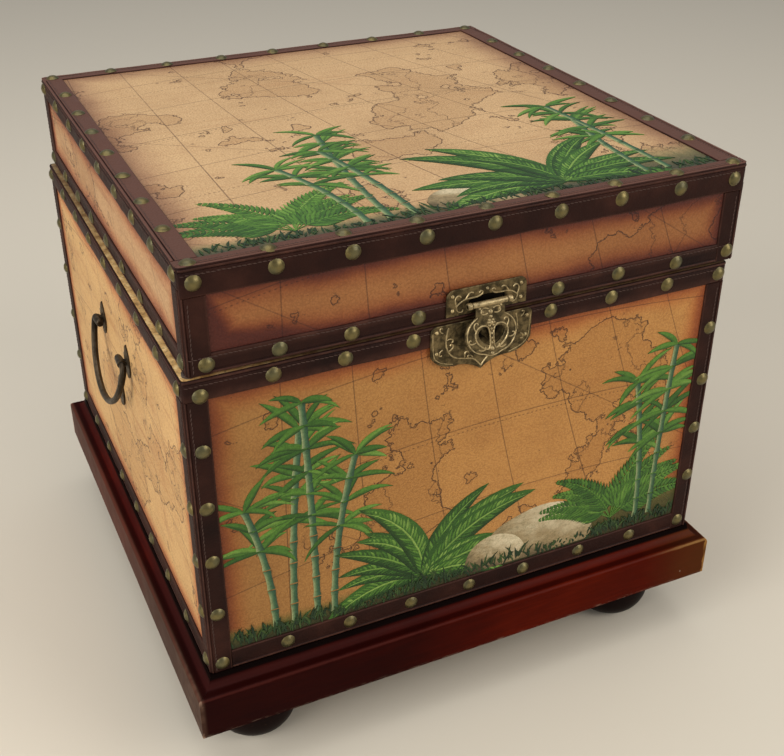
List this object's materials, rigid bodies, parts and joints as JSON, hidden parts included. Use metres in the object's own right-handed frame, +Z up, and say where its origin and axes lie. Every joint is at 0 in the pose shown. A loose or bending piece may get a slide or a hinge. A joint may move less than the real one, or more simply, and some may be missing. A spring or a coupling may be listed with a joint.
{
  "type": "square trunk",
  "caption": "Square covered keepsake trunk with a hinged lid, front hasp latch, swinging side bails, domed nails along dark straps and a moulded plinth on bun feet.",
  "frame": {"origin": "on the floor under the middle of the plinth", "axes": "+Z up, the latch faces -Y, the handles face -X and +X, the hinges are at +Y"},
  "size_m": [0.4038, 0.4, 0.381],
  "materials": {
    "plinth_lacquer": "glossy red-brown lacquer",
    "bare_wood": "plain sawn board",
    "foot_lacquer": "near-black lacquer",
    "printed_cover": "printed grained leatherette",
    "strap_leather": "dark brown grained leatherette",
    "lining_paper": "flocked paper",
    "rim_paper": "mottled gold paper",
    "felt": "felt",
    "nail_brass": "antique olive brass",
    "antique_brass": "dark antique brass, pressed",
    "bright_brass": "polished brass",
    "handle_bronze": "dark bronze"
  },
  "bodies": {
    "trunk": {"body_board_back": "bare_wood", "body_board_front": "bare_wood", "body_board_left": "bare_wood", "body_board_right": "bare_wood", "body_cover_back": "printed_cover", "body_cover_front": "printed_cover", "body_cover_left": "printed_cover", "body_cover_right": "printed_cover", "body_floor_board": "bare_wood", "body_lining": "lining_paper", "body_nails": "nail_brass", "body_rim_cover": "rim_paper", "body_straps_back": "strap_leather", "body_straps_front": "strap_leather", "body_straps_left": "strap_leather", "body_straps_right": "strap_leather", "foot_back_left": "foot_lacquer", "foot_back_right": "foot_lacquer", "foot_front_left": "foot_lacquer", "foot_front_right": "foot_lacquer", "hinge_body_leaves": "antique_brass", "hinge_body_screws": "antique_brass", "hinge_pins": "antique_brass", "latch_body_pins": "bright_brass", "latch_catch": "antique_brass", "latch_shield_plate": "antique_brass", "left_handle_plates": "handle_bronze", "plinth_corner_blocks": "bare_wood", "plinth_rail_back": "plinth_lacquer", "plinth_rail_front": "plinth_lacquer", "plinth_rail_left": "plinth_lacquer", "plinth_rail_right": "plinth_lacquer", "right_handle_plates": "handle_bronze", "rim_bumpers": "felt"},
    "lid": {"hinge_lid_leaves": "antique_brass", "hinge_lid_screws": "antique_brass", "latch_lid_pins": "bright_brass", "latch_pin": "bright_brass", "latch_upper_plate": "antique_brass", "lid_board_back": "bare_wood", "lid_board_front": "bare_wood", "lid_board_left": "bare_wood", "lid_board_right": "bare_wood", "lid_board_top": "bare_wood", "lid_cover_back": "printed_cover", "lid_cover_front": "printed_cover", "lid_cover_left": "printed_cover", "lid_cover_right": "printed_cover", "lid_cover_top": "printed_cover", "lid_lining": "lining_paper", "lid_nails": "nail_brass", "lid_rim_cover": "rim_paper", "lid_straps_back": "strap_leather", "lid_straps_front": "strap_leather", "lid_straps_left": "strap_leather", "lid_straps_right": "strap_leather", "lid_straps_top": "strap_leather"},
    "hasp": {"latch_hasp": "antique_brass"},
    "left_bail": {"left_handle_bail": "handle_bronze"},
    "right_bail": {"right_handle_bail": "handle_bronze"}
  },
  "joints": [
    {"name": "lid_hinge", "type": "hinge", "parent": "trunk", "child": "lid", "pos_m": [0, 0.1909, 0.3103], "axis": [-1, 0, 0], "range_deg": [0, 100]},
    {"name": "hasp_swing", "type": "hinge", "parent": "lid", "child": "hasp", "pos_m": [0.004, -0.1921, 0.3206], "axis": [-1, 0, 0], "range_deg": [0, 120]},
    {"name": "left_bail_swing", "type": "hinge", "parent": "trunk", "child": "left_bail", "pos_m": [-0.1913, 0, 0.2435], "axis": [0, 1, 0], "range_deg": [-11, 159]},
    {"name": "right_bail_swing", "type": "hinge", "parent": "trunk", "child": "right_bail", "pos_m": [0.1913, 0, 0.2435], "axis": [0, -1, 0], "range_deg": [-11, 159]}
  ]
}
